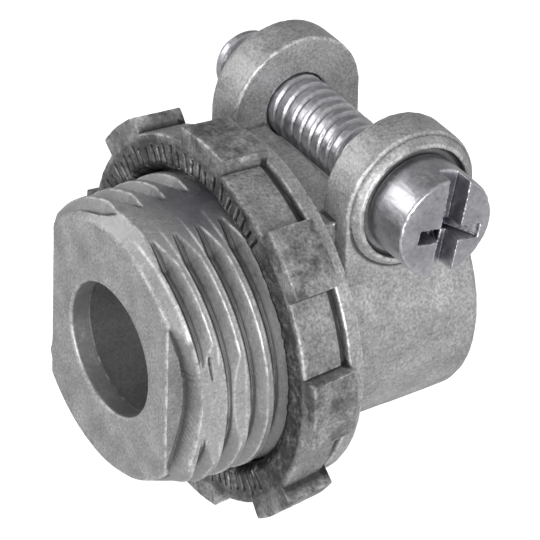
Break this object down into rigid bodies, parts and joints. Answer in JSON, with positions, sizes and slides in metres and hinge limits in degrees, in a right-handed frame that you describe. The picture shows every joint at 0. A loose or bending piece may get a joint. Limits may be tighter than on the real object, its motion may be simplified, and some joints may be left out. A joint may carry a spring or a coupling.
{
  "type": "flexible conduit squeeze connector",
  "caption": "Cast squeeze connector for flexible metal conduit: threaded nose with locknut, flange, and a split barrel closed by a clamp screw through two ears.",
  "frame": {"origin": "on the fitting's axis in the plane of the flange's front face, which seats against the outside of the box wall", "axes": "+X along the fitting's axis from the threaded nose to the conduit mouth, +Z towards the clamp screw, clamp screw along Y with its head at -Y"},
  "size_m": [0.0238, 0.0286, 0.0299],
  "materials": {
    "cast_zinc": "bare die-cast zinc, satin, light grey with a fine cast grain and bright rubbed edges",
    "locknut_zinc": "bare die-cast zinc, duller and rougher than the body, dark between the serrations",
    "plated_steel": "bright zinc-plated steel with a faint blue cast"
  },
  "bodies": {
    "body": {"body": "cast_zinc"},
    "locknut": {"locknut": "locknut_zinc"},
    "clamp_screw": {"clamp_screw": "plated_steel"}
  },
  "joints": [
    {"name": "locknut_turn", "type": "hinge", "parent": "body", "child": "locknut", "pos_m": [0, 0, 0], "axis": [1, 0, 0], "continuous": true},
    {"name": "clamp_screw_turn", "type": "hinge", "parent": "body", "child": "clamp_screw", "pos_m": [0.0074, 0, 0.0104], "axis": [0, 1, 0], "continuous": true}
  ]
}
